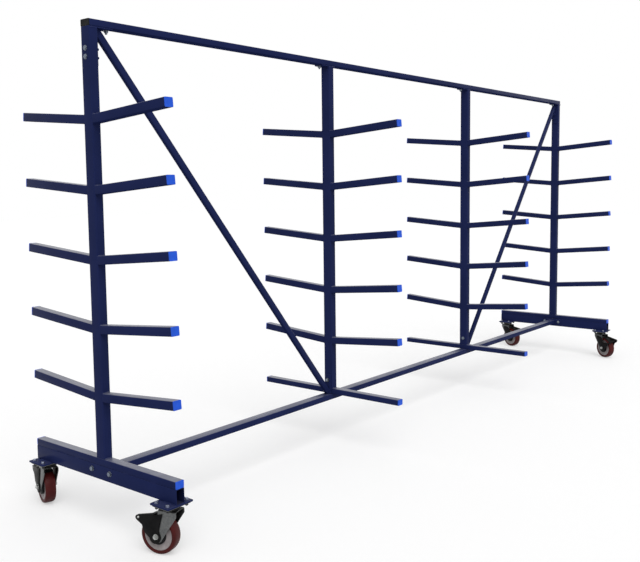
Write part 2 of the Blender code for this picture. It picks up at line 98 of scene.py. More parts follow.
def newGroup(name, inputs, outputs):
    group = bpy.data.node_groups.new(name, "ShaderNodeTree")
    for way, sockets in (("INPUT", inputs), ("OUTPUT", outputs)):
        for label, kind in sockets.items():
            group.interface.new_socket(name=label, in_out=way, socket_type="NodeSocket" + kind)
    return group, group.nodes.new("NodeGroupInput").outputs, group.nodes.new("NodeGroupOutput").inputs


def useGroup(tree, group, sockets):
    return addNode(tree, "Group", sockets, node_tree=group).outputs


def mixColour(tree, factor, first, second):
    made = addNode(tree, "Mix", {0: factor}, data_type="RGBA")
    feed(tree, made.inputs[6], first)
    feed(tree, made.inputs[7], second)
    return made.outputs[2]


def maths(tree, operation, first, second=0.0, clamp=False):
    return addNode(tree, "Math", {0: first, 1: second}, operation=operation, use_clamp=clamp).outputs[0]


def product(tree, first, *others):
    for other in others:
        first = maths(tree, "MULTIPLY", first, other)
    return first


def remap(tree, value, low, high, toLow=0.0, toHigh=1.0):
    return addNode(tree, "MapRange", {0: value, 1: low, 2: high, 3: toLow, 4: toHigh}, clamp=True).outputs[0]


def objectPlace(tree):
    return addNode(tree, "TexCoord").outputs["Object"]


def faceNormal(tree):
    return addNode(tree, "NewGeometry").outputs["Normal"]


def heightOf(tree, vector):
    return addNode(tree, "SeparateXYZ", {0: vector}).outputs[2]


def noise(tree, scale, detail, rough, place=None):
    sockets = {"Vector": place or objectPlace(tree), "Scale": scale, "Detail": detail, "Roughness": rough}
    return addNode(tree, "TexNoise", sockets).outputs[0]


# effects that several finishes share
def makeOrangePeel():
    group, given, out = newGroup("orangePeel", {"Scale": "Float", "Depth": "Float"}, {"Normal": "Vector"})
    place = objectPlace(group)
    fine = noise(group, given["Scale"], detail=1.5, rough=0.45, place=place)
    wide = noise(group, scale=38.0, detail=1.0, rough=0.5, place=place)
    wideShare = 1.6
    height = maths(group, "ADD", fine, product(group, wide, wideShare))
    bump = addNode(group, "Bump", {"Height": height, "Strength": given["Depth"], "Distance": 0.0006})
    feed(group, out["Normal"], bump.outputs[0])
    return group


def makeToneDrift():
    group, given, out = newGroup("toneDrift", {"Colour": "Color", "Second": "Color", "Scale": "Float"},
                                 {"Colour": "Color", "Mask": "Float"})
    mask = remap(group, noise(group, given["Scale"], detail=3.0, rough=0.55), low=0.35, high=0.65)
    feed(group, out["Colour"], mixColour(group, mask, given["Colour"], given["Second"]))
    feed(group, out["Mask"], mask)
    return group


def maskGroup(name, first):  # a group with one mask, the product of what it is given
    group, given, out = newGroup(name, {first: "Float", "Amount": "Float"}, {"Mask": "Float"})

    def finishMask(*shares):
        feed(group, out["Mask"], product(group, *shares, given["Amount"]))
        return group
    return group, given[first], finishMask


def makeSettledDust():  # lies only on what faces up
    group, scale, finishMask = maskGroup("settledDust", "Scale")
    shelf = remap(group, heightOf(group, faceNormal(group)), low=0.55, high=0.98)
    patches = noise(group, scale, detail=4.0, rough=0.6)
    return finishMask(shelf, remap(group, patches, low=0.3, high=0.75, toLow=0.45))


def makeWornEdge():  # where the rounded normal leaves the flat one
    group, width, finishMask = maskGroup("wornEdge", "Width")
    rounded = addNode(group, "Bevel", {"Radius": width}, samples=4).outputs[0]
    alike = addNode(group, "VectorMath", {0: rounded, 1: faceNormal(group)}, operation="DOT_PRODUCT")
    edge = remap(group, alike.outputs["Value"], low=0.995, high=0.86)
    patches = noise(group, scale=60.0, detail=4.0, rough=0.65)
    return finishMask(edge, remap(group, patches, low=0.38, high=0.62, toLow=0.25))


def makeScuffs():  # short thin rubs left by handled stock
    group, scale, finishMask = maskGroup("scuffs", "Scale")
    place = objectPlace(group)
    turned = addNode(group, "Mapping", {"Vector": place, "Rotation": (0.4, 0.9, 0.3), "Scale": (1.0, 9.0, 9.0)})
    lines = noise(group, scale, detail=6.0, rough=0.7, place=turned.outputs[0])
    where = noise(group, scale=4.0, detail=2.0, rough=0.5, place=place)
    return finishMask(remap(group, lines, low=0.62, high=0.70), remap(group, where, low=0.5, high=0.7))


def makeFloorGrime():  # road dirt that thins out with height
    group, height, finishMask = maskGroup("floorGrime", "Height")
    place = objectPlace(group)
    low = remap(group, maths(group, "DIVIDE", heightOf(group, place), height), low=1.0, high=0.0)
    patches = noise(group, scale=55.0, detail=5.0, rough=0.65, place=place)
    return finishMask(low, remap(group, patches, low=0.35, high=0.7))


def makeSpangle():  # crystals of a zinc coat
    group, given, out = newGroup("spangle", {"Scale": "Float"}, {"Value": "Float"})
    place = objectPlace(group)
    cells = addNode(group, "TexVoronoi", {"Vector": place, "Scale": given["Scale"], "Randomness": 1.0})
    tint = addNode(group, "SeparateColor", {0: cells.outputs["Color"]}).outputs[0]
    cloud = noise(group, scale=24.0, detail=3.0, rough=0.55, place=place)
    feed(group, out["Value"], maths(group, "ADD", product(group, tint, 0.5), product(group, cloud, 0.5)))
    return group


def makeRecess():  # where little light gets in
    group, reach, finishMask = maskGroup("recess", "Reach")
    clear = addNode(group, "AmbientOcclusion", {"Distance": reach}, samples=6).outputs["AO"]
    return finishMask(remap(group, clear, low=0.8, high=0.3))


effects = {
    "orangePeel": makeOrangePeel(), "toneDrift": makeToneDrift(), "settledDust": makeSettledDust(),
    "wornEdge": makeWornEdge(), "scuffs": makeScuffs(), "floorGrime": makeFloorGrime(), "spangle": makeSpangle(),
    "recess": makeRecess(),
}


def newMaterial(name, sockets):
    material = bpy.data.materials.new(name)
    material.use_nodes = True
    shader = material.node_tree.nodes["Principled BSDF"]
    for key, value in sockets.items():
        shader.inputs[key].default_value = value
    return material, material.node_tree, shader.inputs


# finishes; a layer's values are its size, its amount, its colour and how much it dulls the gloss
layers = {"wear": ("wornEdge", "Width"), "rubs": ("scuffs", "Scale"), "dirt": ("floorGrime", "Height"),
          "dust": ("settledDust", "Scale")}


def dimple(tree, shader, scale, depth):
    feed(tree, shader["Normal"], useGroup(tree, effects["orangePeel"], {"Scale": scale, "Depth": depth})["Normal"])


def coated(name, look):
    material, tree, shader = newMaterial(name, {"Specular IOR Level": look["shine"]})
    tone = useGroup(tree, effects["toneDrift"], {"Colour": look["colour"], "Second": look["second"],
                                                 "Scale": look["drift"]})
    colour = tone["Colour"]
    gloss = remap(tree, tone["Mask"], 0.0, 1.0, *look["gloss"])
    for key, (effect, measure) in layers.items():
        if key in look:
            size, amount, tint, dull = look[key]
            mask = useGroup(tree, effects[effect], {measure: size, "Amount": amount})["Mask"]
            colour = mixColour(tree, mask, colour, tint)
            if dull:
                gloss = maths(tree, "ADD", gloss, product(tree, mask, dull), True)
    feed(tree, shader["Base Color"], colour)
    feed(tree, shader["Roughness"], gloss)
    dimple(tree, shader, *look["peel"])
    return material


navy = {
    "colour": (0.0150, 0.0222, 0.088, 1), "second": (0.0125, 0.0190, 0.074, 1), "drift": 5.0,
    "gloss": (0.20, 0.30), "shine": 0.018, "peel": (420.0, 0.10),
    # worn edges are a lighter navy: thinner paint, and partly a painted highlight
    "wear": (0.0022, 0.55, (0.024, 0.034, 0.14, 1), 0.0), "rubs": (7.0, 0.10, (0.03, 0.04, 0.16, 1), 0.8),
    "dustScale": 18.0, "dustAndSheenColour": (0.41, 0.415, 0.45, 1), "dustDull": 0.6,
    "under": (-0.6, -0.1), "above": (0.5, 0.98),  # where the underside starts and ends, and the top, for the painted reflection
    "open": (0.40, 0.85), "rail": (0.12, 0.36), "low": (0.05, 0.0),  # dust, partly a painted sheen, and a painted reflection on what faces up
}
# darker navy for the inside of open tubes: thin overspray, and painted shade
oversprayAndShade = {"colour": (0.0075, 0.0105, 0.042, 1), "second": (0.006, 0.0085, 0.034, 1)}


# navy paint whose specular level follows which way a face looks: a painted reflection, none underneath and strong
# on top, as light from above would give
def navyPaint(name, topDustAndSheen, topShine, tint=navy):
    dust = (navy["dustScale"], topDustAndSheen, navy["dustAndSheenColour"], navy["dustDull"])
    material = coated(name, {**navy, **tint, "dust": dust})
    tree = material.node_tree
    facing = heightOf(tree, faceNormal(tree))
    sheen = remap(tree, facing, *navy["under"], 0.0, navy["shine"])  # painted reflection: dull underneath
    sheen = maths(tree, "ADD", sheen, remap(tree, facing, *navy["above"], 0.0, topShine))
    feed(tree, tree.nodes["Principled BSDF"].inputs["Specular IOR Level"], sheen)
    return material


capBlue = {
    "colour": (0.020, 0.112, 0.74, 1), "second": (0.016, 0.092, 0.64, 1), "drift": 40.0,
    "gloss": (0.34, 0.46), "shine": 0.15, "peel": (900.0, 0.12), "wear": (0.0015, 0.5, (0.010, 0.05, 0.42, 1), 0.0),
}
plugBlack = {
    "colour": (0.0065, 0.0065, 0.007, 1), "second": (0.010, 0.010, 0.011, 1), "drift": 60.0,
    "gloss": (0.45, 0.6), "shine": 0.1, "peel": (1400.0, 0.2), "dust": (30.0, 0.08, (0.22, 0.22, 0.23, 1), 0.0),
}
leverBlack = {
    "colour": (0.0045, 0.0045, 0.005, 1), "second": (0.007, 0.007, 0.0075, 1), "drift": 30.0,
    "gloss": (0.36, 0.5), "shine": 0.06, "peel": (500.0, 0.16),
    "wear": (0.0015, 0.6, (0.03, 0.03, 0.03, 1), 0.0), "dirt": (0.2, 0.18, (0.06, 0.055, 0.05, 1), 0.0),
}
coreGrey = {
    "colour": (0.37, 0.335, 0.337, 1), "second": (0.30, 0.272, 0.276, 1), "drift": 25.0,
    "gloss": (0.42, 0.55), "shine": 0.2, "peel": (700.0, 0.15), "dirt": (0.16, 0.35, (0.14, 0.12, 0.11, 1), 0.0),
}
treadRed = {
    "colour": (0.080, 0.0092, 0.0090, 1), "second": (0.058, 0.0078, 0.0078, 1), "drift": 22.0,
    "gloss": (0.36, 0.5), "shine": 0.12, "peel": (800.0, 0.2),
    "rubs": (20.0, 0.3, (0.15, 0.022, 0.024, 1), 0.0), "dirt": (0.12, 0.4, (0.024, 0.011, 0.0105, 1), 0.5),
}
plating = {"wear": (0.0012, 0.5), "rubbed": (0.78, 0.79, 0.78, 1), "grimeHeight": 0.22, "recess": 0.05,
           "crystal": (0.1, 0.9), "gloss": (0.28, 0.44), "peel": (600.0, 0.06)}
zincTones = {  # dark, pale, and a grime colour that also paints the shade in recesses, size of the crystals, amount of grime, amount of painted shade in recesses
    "zincPlate": ((0.08, 0.084, 0.087, 1), (0.17, 0.176, 0.175, 1), (0.04, 0.036, 0.032, 1), 160.0, 0.35, 0.85),
    # darker copies of the zinc for parts that lie in shadow: painted shade
    "shadeZinc": ((0.06, 0.063, 0.066, 1), (0.11, 0.115, 0.115, 1), (0.03, 0.028, 0.026, 1), 160.0, 0.3, 0.85),
    "insideZinc": ((0.016, 0.017, 0.018, 1), (0.034, 0.036, 0.036, 1), (0.010, 0.009, 0.008, 1), 160.0, 0.3, 0.85),
    "boltZinc": ((0.115, 0.135, 0.17, 1), (0.20, 0.235, 0.29, 1), (0.06, 0.06, 0.06, 1), 300.0, 0.1, 0.3),
    # a lighter copy of the bolt zinc for the pad's bolt heads: painted highlight
    "padZinc": ((0.24, 0.265, 0.34, 1), (0.38, 0.41, 0.52, 1), (0.10, 0.10, 0.10, 1), 300.0, 0.05, 0.1),
    "axleZinc": ((0.32, 0.33, 0.32, 1), (0.48, 0.49, 0.48, 1), (0.12, 0.11, 0.10, 1), 300.0, 0.1, 0.3),
}


def zincPlate(name, dark, pale, grime, scale, dirty, shade):
    material, tree, shader = newMaterial(name, {"Metallic": 1.0})
    crystal = useGroup(tree, effects["spangle"], {"Scale": scale})["Value"]
    width, amount = plating["wear"]
    edge = useGroup(tree, effects["wornEdge"], {"Width": width, "Amount": amount})
    dirt = useGroup(tree, effects["floorGrime"], {"Height": plating["grimeHeight"], "Amount": dirty})
    # painted shade: an occlusion mask darkens the zinc in recesses with the grime colour
    deep = useGroup(tree, effects["recess"], {"Reach": plating["recess"], "Amount": shade})
    colour = mixColour(tree, edge["Mask"], mixColour(tree, crystal, dark, pale), plating["rubbed"])
    for mask in (dirt["Mask"], deep["Mask"]):
        colour = mixColour(tree, mask, colour, grime)
    feed(tree, shader["Base Color"], colour)
    feed(tree, shader["Roughness"], remap(tree, crystal, *plating["crystal"], *plating["gloss"]))
    dimple(tree, shader, *plating["peel"])
    return material


zincs = {name: zincPlate(name, *tones) for name, tones in zincTones.items()}
finishes = {
    "navy_paint": navyPaint("navyPaint", *navy["open"]), "blue_plastic": coated("bluePlastic", capBlue),
    "black_plastic": coated("blackPlastic", plugBlack), "zinc": zincs["zincPlate"],
    "black_steel": coated("blackSteel", leverBlack), "grey_core": coated("greyCore", coreGrey),
    "red_tread": coated("redTread", treadRed),
}
# the bottom rail: less dust and less painted reflection on top
railFinish = navyPaint("navyRail", *navy["rail"])
shadedLowFinish = navyPaint("navyLow", *navy["low"])  # painted shade: less dust and no painted reflection on top
thinShadedFinish = navyPaint("navyThin", *navy["low"], oversprayAndShade)  # inside open tubes: thin overspray, darkened further as painted shade
print("finishes mixed:", len(finishes) + len(zincs) + 2)


def letGo():
    bpy.ops.object.select_all(action="DESELECT")


# floor, backdrop and light
studio = {
    "floor": 60.0, "floorColour": (0.60, 0.60, 0.60, 1), "floorFill": 0.4,
    "sky": 0.58, "sun": 0.42, "sunTurn": (38, 0, -32), "sunSpread": 50,  # degrees
}


def seenPlainly(tree):  # 1 for rays that should meet the white background
    path = addNode(tree, "LightPath").outputs
    seen = maths(tree, "MAXIMUM", path["Is Camera Ray"], path["Is Glossy Ray"])
    return maths(tree, "MAXIMUM", seen, path["Is Transmission Ray"])


def setStudio():
    bpy.context.scene.view_settings.view_transform = "Standard"
    world = bpy.data.worlds.new("studioWorld")
    bpy.context.scene.world = world
    world.use_nodes = True
    tree = world.node_tree
    shade = tree.nodes["Background"]
    shade.inputs["Color"].default_value = (1, 1, 1, 1)
    feed(tree, shade.inputs["Strength"], remap(tree, seenPlainly(tree), 0.0, 1.0, studio["sky"], 1.0))

    letGo()
    bpy.ops.object.light_add(type="SUN", location=(0, 0, 6))
    sun = bpy.context.object
    sun.rotation_euler = [math.radians(turn) for turn in studio["sunTurn"]]
    sun.data.angle = math.radians(studio["sunSpread"])
    sun.data.energy = math.pi * studio["sun"] / math.cos(math.radians(studio["sunTurn"][0]))

    letGo()
    bpy.ops.mesh.primitive_plane_add(size=studio["floor"])
    floor = bpy.context.object
    floor.name = "studioFloor"
    material, tree, shader = newMaterial("paleFloor", {"Roughness": 0.7, "Specular IOR Level": 0.1,
                                                       "Base Color": studio["floorColour"],
                                                       "Emission Color": (1, 1, 1, 1)})
    feed(tree, shader["Emission Strength"], product(tree, seenPlainly(tree), studio["floorFill"]))
    floor.data.materials.append(material)


setStudio()
print("studio set")

# modelling helpers
shift = Matrix.Translation
smoothAngle = math.radians(32)
close = {"edge": 0.999, "face": 0.99, "corner": 0.0001, "point": 0.00001}  # what counts as in line or as one


def spun(turn, axis):
    return Matrix.Rotation(turn, 4, axis)


def only(piece):
    letGo()
    piece.select_set(True)
    bpy.context.view_layer.objects.active = piece


def openEdit(piece, mode="FACE"):
    only(piece)
    bpy.ops.object.mode_set(mode="EDIT")
    bpy.ops.mesh.select_mode(type=mode)
    bpy.ops.mesh.select_all(action="DESELECT")


def closeEdit():
    bpy.ops.object.mode_set(mode="OBJECT")


def pickAll():
    bpy.ops.mesh.select_all(action="SELECT")


def pull(step):  # extrudes what is picked
    bpy.ops.mesh.extrude_region_move(TRANSFORM_OT_translate={"value": step})


def push(step):
    bpy.ops.transform.translate(value=step)


def startFrom(primitive, **settings):
    letGo()
    primitive(**settings)
    bpy.ops.object.transform_apply(location=True, rotation=True, scale=True)
    return bpy.context.object


def pick(kind, test):
    mesh = bpy.context.edit_object.data
    shape = bmesh.from_edit_mesh(mesh)
    for item in getattr(shape, kind):
        if test(item):
            item.select_set(True)
    shape.select_flush_mode()
    bmesh.update_edit_mesh(mesh)


def runsAlong(axis):
    return lambda edge: abs((edge.verts[1].co - edge.verts[0].co).normalized()[axis]) > close["edge"]


def looks(direction):
    aim = Vector(direction).normalized()
    return lambda face: face.normal.dot(aim) > close["face"]


def addBlock(name, low, high):
    piece = startFrom(bpy.ops.mesh.primitive_cube_add, size=1, location=[(a + b) / 2 for a, b in zip(low, high)],
                      scale=[b - a for a, b in zip(low, high)])
    piece.name = name
    return piece


def bevelEdges(piece, test, offset, segments):
    openEdit(piece, "EDGE")
    pick("edges", test)
    bpy.ops.mesh.bevel(offset=offset, segments=segments, affect="EDGES")
    closeEdit()


def roundBar(name, low, high, axis, corner, segments=4, meets=0):  # meets: 1 or -1 where another tube lies on it
    piece = addBlock(name, low, high)
    along = runsAlong(axis)
    middle = (low[2] + high[2]) / 2
    if meets:
        bevelEdges(piece, lambda edge: along(edge) and (edge.verts[0].co.z - middle) * meets > 0, corner / 2, 3)
    bevelEdges(piece, lambda edge: along(edge) and (edge.verts[0].co.z - middle) * meets <= 0, corner, segments)
    return piece


def insetFace(piece, outward, thickness, move, step):  # then pushes or pulls what the inset leaves
    openEdit(piece)
    pick("faces", looks(outward))
    bpy.ops.mesh.inset(thickness=thickness)
    move(step)
    closeEdit()


def hollowEnds(piece, axis, wall, depth, sides=(-1, 1)):
    for side in sides:
        outward = [0, 0, 0]
        outward[axis] = side
        insetFace(piece, outward, wall, pull, [-depth * part for part in outward])


def cutOff(piece, point, normal):  # takes away what lies on the normal's side
    openEdit(piece)
    pickAll()
    bpy.ops.mesh.bisect(plane_co=point, plane_no=normal, use_fill=True, clear_outer=True)
    closeEdit()


def useModifier(piece, kind, **settings):
    only(piece)
    modifier = piece.modifiers.new(kind.lower(), kind)
    for key, value in settings.items():
        setattr(modifier, key, value)
    bpy.ops.object.modifier_apply(modifier=modifier.name)


def soften(piece, width, segments=2, angle=40):
    useModifier(piece, "BEVEL", width=width, segments=segments, limit_method="ANGLE",
                angle_limit=math.radians(angle), use_clamp_overlap=True)
    return piece


def settle(piece, matrix):  # moves a piece and leaves its place in the mesh
    only(piece)
    piece.matrix_world = matrix
    bpy.ops.object.transform_apply(location=True, rotation=True, scale=True)
    return piece


def copyOf(source, name, matrix):
    piece = source.copy()
    piece.data = source.data.copy()
    piece.name = name
    bpy.context.collection.objects.link(piece)
    return settle(piece, matrix)


def joinAll(name, pieces):
    letGo()
    for piece in pieces:
        piece.select_set(True)
    bpy.context.view_layer.objects.active = pieces[0]
    if len(pieces) > 1:
        bpy.ops.object.join()
    pieces[0].name = name
    pieces[0].data.name = name
    return pieces[0]


def discard(*pieces):
    for piece in pieces:
        bpy.data.objects.remove(piece, do_unlink=True)


def drawLine(name, points):  # one vertex, extruded from point to point; stays in edit mode
    piece = startFrom(bpy.ops.mesh.primitive_plane_add, size=0.001)
    piece.name = name
    openEdit(piece, "VERT")
    pickAll()
    bpy.ops.mesh.merge(type="CENTER")
    push(points[0])
    for start, end in zip(points, points[1:]):
        pull([b - a for a, b in zip(start, end)])
    return piece


def mergeDoubles():
    pickAll()
    bpy.ops.mesh.remove_doubles(threshold=close["point"])


def cleanNormals():
    mergeDoubles()
    bpy.ops.mesh.normals_make_consistent(inside=False)


def turnProfile(name, profile, steps, ring=True):  # an (r, z) line spun about Z
    points = [(r, 0, z) for r, z in profile]
    if ring:
        points.append(points[0])
    piece = drawLine(name, points)
    mergeDoubles()
    pickAll()
    bpy.ops.mesh.spin(steps=steps, angle=math.tau, center=(0, 0, 0), axis=(0, 0, 1))
    cleanNormals()
    closeEdit()
    return piece


def arcPoints(centre, radius, start, end, steps):
    turns = [math.radians(start + (end - start) * step / steps) for step in range(steps + 1)]
    return [(centre[0] + radius * math.cos(turn), centre[1] + radius * math.sin(turn)) for turn in turns]


madePieces = []


def hand(piece, body, slot, replaced=(), finish=None):  # dress a finished piece and let it ride
    only(piece)
    bpy.ops.object.shade_smooth_by_angle(angle=smoothAngle)
    if not piece.data.materials:
        piece.data.materials.append(finish or finishes[slot])
    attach(piece, body)
    if replaced:
        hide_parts(*replaced)
    madePieces.append(piece)


# sizes that the whole rack shares, in metres
rack = {
    "bay": 1.5, "posts": 4, "tube": 0.040, "low": 0.030, "deep": 0.052, "railTall": 0.027,
    "corner": 0.0034, "wall": 0.002, "hollow": 0.030, "clear": 0.0003,
}
softEdge = {"tube": 0.0004, "plate": 0.0006, "bolt": 0.0003, "sheet": 0.0005}
half = rack["tube"] / 2
deepHalf = rack["deep"] / 2  # posts and rails, across the rack
postX = [(index - (rack["posts"] - 1) / 2) * rack["bay"] for index in range(rack["posts"])]
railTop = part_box("top_rail")[1][2]
railUnder = railTop - rack["railTall"]
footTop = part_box("foot_bar_left")[1][2]
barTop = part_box("level_bar_2")[1][2]
lowRailTop = barTop - rack["low"]
ends = {"left": postX[0], "right": postX[-1]}
rows = {"near": -1, "far": 1}

# small things that repeat: weld bead, bolt head, nut on its stud
bead = {"length": 0.034, "radius": 0.0026, "ripples": 8, "swell": 1.22, "end": 0.7,
        "proud": 0.0008, "lift": 0.0006, "tuck": 0.001}


def weldBead():
    start = -bead["length"] / 2
    piece = startFrom(bpy.ops.mesh.primitive_circle_add, vertices=8, radius=bead["radius"] * bead["end"],
                      fill_type="NGON", location=(start, 0, 0), rotation=(0, math.pi / 2, 0))
    openEdit(piece)
    pickAll()
    step = bead["length"] / (2 * bead["ripples"])
    for index in range(2 * bead["ripples"]):
        pull((step, 0, 0))
        grow = bead["swell"] if index % 2 == 0 else 1 / bead["swell"]
        bpy.ops.transform.resize(value=(1, grow, grow), center_override=(start + step * (index + 1), 0, 0))
    cleanNormals()
    closeEdit()
    return piece


bolt = {
    "across": 0.016, "small": 0.012, "washer": 0.0015, "washerWide": 0.66, "head": 0.0062, "lowHead": 0.0035,
    "nut": 0.0078, "chamfer": 0.0011, "crown": 0.55, "dishAt": 0.18, "dish": 0.2,
    "stud": 0.0062, "studRadius": 0.3, "thread": 0.00135, "root": 0.88, "tip": 0.8,
    "studIn": 0.001, "shortStud": 0.3,
}


def washerAt(across):
    piece = startFrom(bpy.ops.mesh.primitive_cylinder_add, vertices=28, radius=across * bolt["washerWide"],
                      depth=bolt["washer"], location=(0, 0, bolt["washer"] / 2))
    return soften(piece, softEdge["bolt"])


def hexBlock(across, tall):
    piece = startFrom(bpy.ops.mesh.primitive_cylinder_add, vertices=6, radius=across / math.sqrt(3), depth=tall,
                      location=(0, 0, bolt["washer"] + tall / 2))
    insetFace(piece, (0, 0, 1), bolt["chamfer"], push, (0, 0, bolt["chamfer"] * bolt["crown"]))
    insetFace(piece, (0, 0, 1), across * bolt["dishAt"], push, (0, 0, -bolt["chamfer"] * bolt["dish"]))
    return soften(piece, softEdge["bolt"], angle=25)


def boltHead(name, across, tall):
    return joinAll(name, [hexBlock(across, tall), washerAt(across)])


def nutOnStud(name, across, share=1.0):  # share of the stud that stands proud
    nut = hexBlock(across, bolt["nut"])
    top = bolt["washer"] + bolt["nut"]
    radius = across * bolt["studRadius"]
    profile = [(0, top - bolt["studIn"])]
    level = top
    while level < top + bolt["stud"] * share:  # a coarse thread on the stud's end
        profile += [(radius * bolt["root"], level), (radius, level + bolt["thread"] / 2)]
        level += bolt["thread"]
    profile += [(radius * bolt["tip"], level), (0, level)]
    return joinAll(name, [nut, washerAt(across), turnProfile("stud", profile, steps=16, ring=False)])


beadShape = weldBead()
headShape = boltHead("headShape", bolt["across"], bolt["head"])
lowHead = boltHead("lowHead", bolt["across"], bolt["lowHead"])
nutShape = nutOnStud("nutShape", bolt["across"])
smallHead = boltHead("smallHead", bolt["small"], bolt["head"])
smallNut = nutOnStud("smallNut", bolt["small"], bolt["shortStud"])


def aimed(point, direction):  # stands +Z of a shape along a direction at a point
    turn = Vector((0, 0, 1)).rotation_difference(Vector(direction)).to_matrix().to_4x4()
    return shift(point) @ turn


def beadAt(point, turn=0.0):
    return copyOf(beadShape, "bead", shift(point) @ spun(turn, "Z"))


def handBolts(name, pieces, tone):
    hand(joinAll(name, pieces), "frame", "zinc", finish=zincs[tone])


def steelPlate(low, high, axis, corner, segments=3):
    return soften(roundBar("plate", low, high, axis, corner, segments), softEdge["plate"])


print("small shapes ready")

# posts with their arms
arm = {
    "levels": 5, "pitch": 0.2755, "lowest": 0.266, "reach": 0.450, "tilt": math.radians(4.7),
    "width": 0.0392, "height": 0.036, "top": 0.003, "root": 0.012, "hollow": 0.02, "setIn": 0.001,
}
headPlate = {
    "thick": 0.005, "long": 0.075, "side": 0.055, "short": 0.015, "boltLong": 0.060, "boltSide": 0.047,
    "setIn": 0.0005, "corner": 0.002,
}
postTop = railUnder - headPlate["thick"]
armUnder = arm["top"] - arm["height"]
armLength = (arm["reach"] - half + armUnder * math.sin(arm["tilt"])) / math.cos(arm["tilt"])
armTurn = shift((0, half, 0)) @ spun(arm["tilt"], "X")


def armShape():  # points along +Y, sloping up from height 0 just inside the post's face
    wide = arm["width"] / 2
    tube = roundBar("armShape", (-wide, -arm["root"], armUnder), (wide, armLength - plug["head"], arm["top"]), 1,
                    rack["corner"])
    hollowEnds(tube, 1, rack["wall"], arm["hollow"], sides=(1,))
    soften(tube, softEdge["tube"])
    settle(tube, armTurn)
    cutOff(tube, (0, deepHalf - arm["setIn"], 0), (0, -1, 0))
    rise = (deepHalf - half) * math.tan(arm["tilt"])
    high, low = (rise + edge / math.cos(arm["tilt"]) for edge in (arm["top"], armUnder))
    levels = (high + bead["lift"], low - bead["lift"])
    return joinAll("armShape", [tube] + [beadAt((0, deepHalf + bead["proud"], level)) for level in levels])


plug = {"head": 0.004, "gap": 0.0004, "stem": 0.014, "play": 0.0003, "dish": 0.0005, "rim": 0.8, "edge": 0.0008}


def plugShape(name, width, height):  # a push-in plug, its head standing along +Y from 0
    piece = roundBar(name, (-width / 2, 0, -height / 2), (width / 2, plug["head"] - plug["gap"], height / 2), 1,
                     rack["corner"])
    insetFace(piece, (0, 1, 0), rack["corner"] * plug["rim"], push, (0, -plug["dish"], 0))
    insetFace(piece, (0, -1, 0), rack["wall"] + plug["play"], pull, (0, -plug["stem"], 0))
    return soften(piece, plug["edge"], 3, 50)


def armCapShape():
    piece = plugShape("armCapShape", arm["width"], arm["height"])
    middle = arm["top"] - arm["height"] / 2
    return settle(piece, armTurn @ shift((0, armLength - plug["head"] + plug["gap"], middle)))


def makeUprights():
    armModel = armShape()
    capModel = armCapShape()
    for index, x in enumerate(postX):
        base = footTop if index in (0, rack["posts"] - 1) else barTop
        post = roundBar("post", (x - half, -deepHalf, base), (x + half, deepHalf, postTop), 2, rack["corner"], 5)
        left, right = (0, headPlate["long"]) if index == 0 else (headPlate["side"], headPlate["short"])
        wide = deepHalf - headPlate["setIn"]
        plate = steelPlate((x - half - left, -wide, postTop),
                           (x + half + right, wide, railUnder - rack["clear"]), 2, headPlate["corner"], 2)
        parts = [post, plate]
        caps = []
        for level in range(arm["levels"]):
            height = footTop + arm["lowest"] + level * arm["pitch"]
            for turn in (0, math.pi):
                where = shift((x, 0, height)) @ spun(turn, "Z")
                parts.append(copyOf(armModel, "arm", where))
                caps.append(copyOf(capModel, "cap", where))
        for side in (-1, 1):
            parts.append(beadAt((x, side * (deepHalf + bead["proud"]), base + bead["proud"])))
            parts.append(beadAt((x, side * (deepHalf - bead["tuck"]), postTop - bead["proud"])))
        hand(joinAll(f"upright_{index + 1}_tree", parts), "frame", "navy_paint", [f"upright_{index + 1}"])
        hand(joinAll(f"arm_caps_{index + 1}", caps), "frame", "blue_plastic")
        away = half + headPlate["boltLong"] if index == 0 else -half - headPlate["boltSide"]
        nut = copyOf(nutShape, "nut", aimed((x + away, 0, postTop), (0, 0, -1)))
        handBolts(f"head_nut_{index + 1}", [nut], "boltZinc")
    discard(armModel, capModel)


makeUprights()
print("uprights built:", rack["posts"])

# rails, bars and beams


def openTube(name, low, high, axis, depth, meets=0):
    tube = roundBar(name, low, high, axis, rack["corner"], 5, meets)
    hollowEnds(tube, axis, rack["wall"], depth)
    return soften(tube, softEdge["tube"])


def makeTopRail():
    reach = postX[-1] + half - plug["head"]
    rail = openTube("top_rail_tube", (-reach, -deepHalf, railUnder), (reach, deepHalf, railTop), 0, rack["hollow"])
    hand(rail, "frame", "navy_paint", ["top_rail"])
    plugModel = plugShape("railPlug", rack["deep"], rack["railTall"])
    for side, end in ((1, "left"), (-1, "right")):
        where = shift((-side * (reach + plug["gap"]), 0, (railTop + railUnder) / 2)) @ spun(side * math.pi / 2, "Z")
        hand(copyOf(plugModel, f"rail_plug_{end}_moulded", where), "frame", "black_plastic", [f"rail_plug_{end}"])
    discard(plugModel)


bar = {"reach": 0.450, "capSlack": 0.0006}


def makeCrossBar(name, x, capModel):  # a level tube across the rack with a blue plug in each end
    low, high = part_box(name)
    reach = bar["reach"] - plug["head"]
    tube = openTube(f"{name}_tube", (x - half, -reach, low[2]), (x + half, reach, high[2]), 1, rack["hollow"],
                    -1 if name.startswith("foot") else 0)
    hand(tube, "frame", "navy_paint", [name])
    for row, side in rows.items():
        turn = 0 if side > 0 else math.pi
        where = shift((x, side * (reach + plug["gap"]), (low[2] + high[2]) / 2)) @ spun(turn, "Z")
        hand(copyOf(capModel, f"{name}_plug_{row}", where), "frame", "blue_plastic", [f"{name}_cap_{row}"])


def makeCrossBars():
    capModel = plugShape("barPlug", rack["tube"], rack["low"] - bar["capSlack"])
    for end, x in ends.items():
        makeCrossBar(f"foot_bar_{end}", x, capModel)
    for index in (1, 2):
        makeCrossBar(f"level_bar_{index + 1}", postX[index], capModel)
    discard(capModel)


